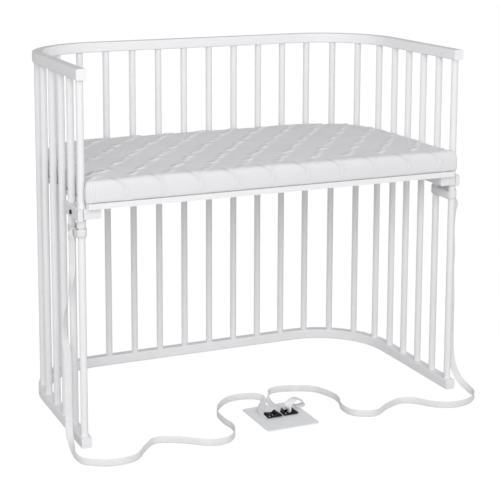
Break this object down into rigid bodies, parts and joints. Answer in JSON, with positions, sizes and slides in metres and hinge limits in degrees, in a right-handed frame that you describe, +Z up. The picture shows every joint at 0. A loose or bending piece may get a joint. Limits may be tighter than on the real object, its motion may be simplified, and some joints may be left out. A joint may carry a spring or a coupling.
{
  "type": "bedside crib",
  "caption": "Open-sided wooden bedside crib: two U-shaped rails joined by round spindles, a height-adjustable board with a quilted mattress, and two webbing straps with cam buckles.",
  "frame": {"origin": "on the floor, at the centre of the crib's plan as measured without its straps, anchor plate and buckles", "axes": "+X along the crib, -Y towards the open side and the bed it stands at, +Z up"},
  "size_m": [0.9891, 0.6247, 0.824],
  "materials": {
    "white_lacquer": "satin white lacquer",
    "spindle_lacquer": "satin white lacquer",
    "board_white": "satin white lacquer",
    "beech": "raw",
    "black_bolt": "satin",
    "zinc_steel": "zinc plated",
    "foam": "matte foam",
    "quilted_cotton": "quilted matte",
    "webbing": "woven matte",
    "plate_grey": "matte",
    "black_plastic": "glossy"
  },
  "bodies": {
    "frame": {"rail_top_left": "white_lacquer", "rail_top_back": "white_lacquer", "rail_top_right": "white_lacquer", "rail_bottom_left": "white_lacquer", "rail_bottom_back": "white_lacquer", "rail_bottom_right": "white_lacquer", "rail_dowels": "beech", "spindle_01": "spindle_lacquer", "spindle_02": "spindle_lacquer", "spindle_03": "spindle_lacquer", "spindle_04": "spindle_lacquer", "spindle_05": "spindle_lacquer", "spindle_06": "spindle_lacquer", "spindle_07": "spindle_lacquer", "spindle_08": "spindle_lacquer", "spindle_09": "spindle_lacquer", "spindle_10": "spindle_lacquer", "spindle_11": "spindle_lacquer", "spindle_12": "spindle_lacquer", "spindle_13": "spindle_lacquer", "spindle_14": "spindle_lacquer", "spindle_15": "spindle_lacquer", "spindle_16": "spindle_lacquer", "spindle_17": "spindle_lacquer", "spindle_18": "spindle_lacquer", "spindle_19": "spindle_lacquer", "spindle_20": "spindle_lacquer", "spindle_21": "spindle_lacquer", "spindle_22": "spindle_lacquer", "spindle_23": "spindle_lacquer", "spindle_24": "spindle_lacquer", "spindle_25": "spindle_lacquer", "spindle_26": "spindle_lacquer", "strap_left": "webbing", "strap_right": "webbing", "strap_tail": "webbing", "anchor_plate": "plate_grey", "buckle_base_left": "black_plastic", "buckle_base_right": "black_plastic", "buckle_pins": "zinc_steel"},
    "base": {"base_board": "board_white", "inner_block_front_left": "white_lacquer", "inner_block_front_right": "white_lacquer", "inner_block_rear_left": "white_lacquer", "inner_block_rear_right": "white_lacquer", "outer_block_front_left": "white_lacquer", "outer_block_front_right": "white_lacquer", "outer_block_rear_left": "white_lacquer", "outer_block_rear_right": "white_lacquer", "clamp_bolts": "black_bolt", "barrel_nuts": "zinc_steel", "board_screws": "zinc_steel", "mattress_core": "foam", "mattress_cover": "quilted_cotton", "mattress_panel": "quilted_cotton", "strap_loop_left": "webbing", "strap_loop_right": "webbing"},
    "lever_left": {"buckle_lever_left": "black_plastic"},
    "lever_right": {"buckle_lever_right": "black_plastic"}
  },
  "joints": [
    {"name": "base_height", "type": "slide", "parent": "frame", "child": "base", "axis": [0, 0, 1], "range_m": [-0.24, 0], "deforming": ["strap_left", "strap_right"]},
    {"name": "left_buckle_lever", "type": "hinge", "parent": "frame", "child": "lever_left", "pos_m": [-0.0275, -0.2465, 0.0088], "axis": [0, -1, 0], "range_deg": [0, 107]},
    {"name": "right_buckle_lever", "type": "hinge", "parent": "frame", "child": "lever_right", "pos_m": [0.014, -0.2455, 0.0088], "axis": [0, -1, 0], "range_deg": [-107, 0]}
  ]
}
